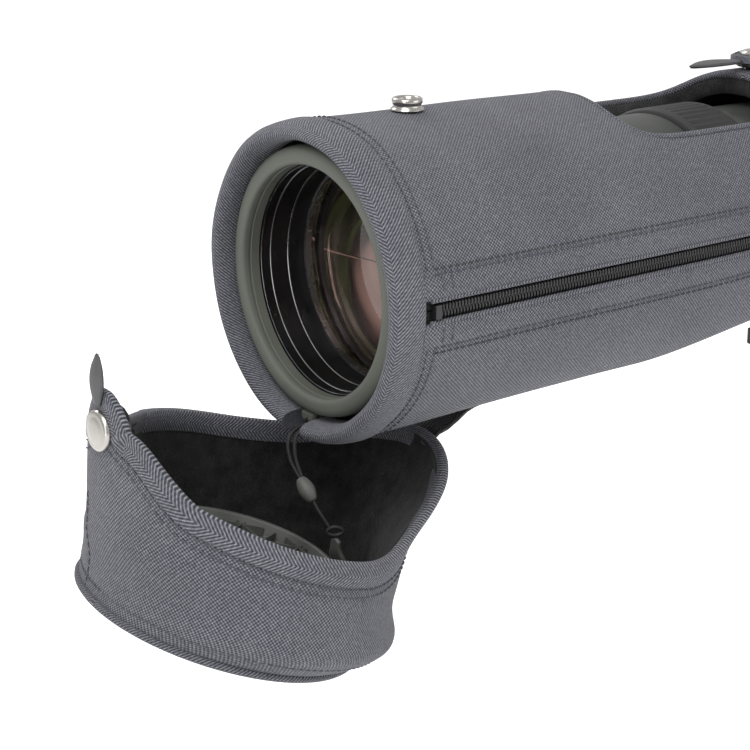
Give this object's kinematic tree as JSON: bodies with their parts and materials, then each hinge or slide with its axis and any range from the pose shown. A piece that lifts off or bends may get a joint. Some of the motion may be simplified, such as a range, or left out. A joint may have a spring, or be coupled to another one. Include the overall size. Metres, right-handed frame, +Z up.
{
  "type": "telescope carry case",
  "caption": "Padded grey fabric stay-on case fitted on a spotting telescope, with a side zip, a front cover hanging open on its strap and a snapped rear eyepiece hood",
  "frame": {"origin": "centre of the lower face of the tripod foot", "axes": "+X along the optical axis from the objective lens to the eyepiece, +Y to the side away from the zip, +Z up"},
  "size_m": [0.5228, 0.1286, 0.2093],
  "materials": {
    "grey_fabric": "padded woven polyester, matt, bluish grey",
    "black_lining": "black brushed fleece",
    "black_webbing": "black woven webbing and zip tape",
    "zip_coil": "black nylon coil",
    "nickel": "bright nickel plating",
    "dark_snap": "black oxide",
    "tab_leather": "dark grey leather",
    "scope_rubber": "olive grey rubber",
    "scope_armour": "smooth dark grey-green rubber armour",
    "black_metal": "matt black anodised",
    "lens_glass": "polished coated glass",
    "cap_plastic": "dark satin plastic",
    "tether_cord": "thin black braided cord"
  },
  "bodies": {
    "case_and_scope": {"sleeve_upper_panel": "grey_fabric", "sleeve_lower_panel": "grey_fabric", "lining_upper": "black_lining", "lining_lower": "black_lining", "opening_hem": "grey_fabric", "front_hem": "grey_fabric", "front_snap_stud": "nickel", "front_stud_washer": "nickel", "rear_snap_stud": "nickel", "rear_stud_washer": "nickel", "zip_tape_upper": "black_webbing", "zip_tape_lower": "black_webbing", "zip_coil_upper": "zip_coil", "zip_coil_lower": "zip_coil", "zip_front_stop": "zip_coil", "zip_rear_stop": "zip_coil", "hood_ring": "scope_rubber", "hood_tube": "scope_armour", "lens_cell": "black_metal", "objective_lens": "lens_glass", "lens_retaining_ring": "black_metal", "cord_lug": "scope_rubber", "main_barrel": "scope_armour", "focus_track": "black_metal", "prism_housing": "scope_armour", "prism_block": "lens_glass", "foot_neck": "scope_armour", "tripod_foot": "black_metal", "eyepiece_barrel": "black_metal", "eye_lens": "lens_glass"},
    "objective_cover": {"cover_wall": "grey_fabric", "cover_end_panel": "grey_fabric", "cover_lining": "black_lining", "cover_hem": "grey_fabric", "lens_cap": "cap_plastic", "cap_lug": "cap_plastic", "hinge_strap": "black_webbing", "tether_upper": "tether_cord", "tether_bead": "cap_plastic", "tether_lower": "tether_cord"},
    "cover_tongue": {"tongue_flap": "grey_fabric", "tongue_snap_cap": "nickel", "tongue_snap_socket": "dark_snap"},
    "cover_pull_tab": {"front_pull_tab": "tab_leather"},
    "eyepiece_cover": {"rear_hood_wall": "grey_fabric", "rear_hood_end": "grey_fabric", "rear_hood_lining": "black_lining", "rear_hood_hem": "grey_fabric", "rear_tongue": "grey_fabric", "rear_snap_cap": "nickel", "rear_snap_socket": "dark_snap"},
    "eyepiece_pull_tab": {"rear_pull_tab": "tab_leather"},
    "zip_slider_body": {"zip_slider": "nickel"},
    "zip_pull_body": {"zip_pull": "nickel"},
    "focus_ring_body": {"focus_ring": "scope_rubber"},
    "focus_carriage": {"focusing_lens": "lens_glass"},
    "zoom_ring_body": {"zoom_ring": "scope_rubber"},
    "eyecup_body": {"eyecup": "scope_rubber"}
  },
  "joints": [
    {"name": "cover_hinge", "type": "hinge", "parent": "case_and_scope", "child": "objective_cover", "pos_m": [-0.225, 0, 0.003], "axis": [0, 1, 0], "range_deg": [0, 32], "deforming": ["hinge_strap", "tether_upper", "tether_bead", "tether_lower"]},
    {"name": "tongue_hinge", "type": "hinge", "parent": "objective_cover", "child": "cover_tongue", "pos_m": [-0.37499, 0, -0.00214], "axis": [0, 1, 0], "range_deg": [0, 11]},
    {"name": "front_tab_hinge", "type": "hinge", "parent": "cover_tongue", "child": "cover_pull_tab", "pos_m": [-0.37616, 0, 0.04418], "axis": [0, -1, 0], "range_deg": [0, 60]},
    {"name": "rear_cover_hinge", "type": "hinge", "parent": "case_and_scope", "child": "eyepiece_cover", "pos_m": [0.063, 0, 0.023], "axis": [0, 1, 0], "range_deg": [0, 110]},
    {"name": "rear_tab_hinge", "type": "hinge", "parent": "eyepiece_cover", "child": "eyepiece_pull_tab", "pos_m": [-0.0566, 0, 0.1382], "axis": [0, 1, 0], "range_deg": [0, 60]},
    {"name": "zip_slide", "type": "slide", "parent": "case_and_scope", "child": "zip_slider_body", "axis": [-0.9998, -0.02, 0], "range_m": [0, 0.256]},
    {"name": "zip_pull_hinge", "type": "hinge", "parent": "zip_slider_body", "child": "zip_pull_body", "pos_m": [-0.005, -0.0588, 0.075], "axis": [0, 0, -1], "range_deg": [0, 150]},
    {"name": "focus_turn", "type": "hinge", "parent": "case_and_scope", "child": "focus_ring_body", "pos_m": [-0.092, 0, 0.075], "axis": [1, 0, 0], "range_deg": [-150, 150]},
    {"name": "focus_travel", "type": "slide", "parent": "case_and_scope", "child": "focus_carriage", "axis": [1, 0, 0], "range_m": [-0.004, 0.004]},
    {"name": "zoom_turn", "type": "hinge", "parent": "case_and_scope", "child": "zoom_ring_body", "pos_m": [0.073, 0, 0.075], "axis": [1, 0, 0], "range_deg": [-40, 40]},
    {"name": "eyecup_slide", "type": "slide", "parent": "case_and_scope", "child": "eyecup_body", "axis": [1, 0, 0], "range_m": [0, 0.01]}
  ],
  "couplings": [
    {"joint": "focus_travel", "follows": "focus_turn", "m_per_rad": 0.0015278}
  ]
}
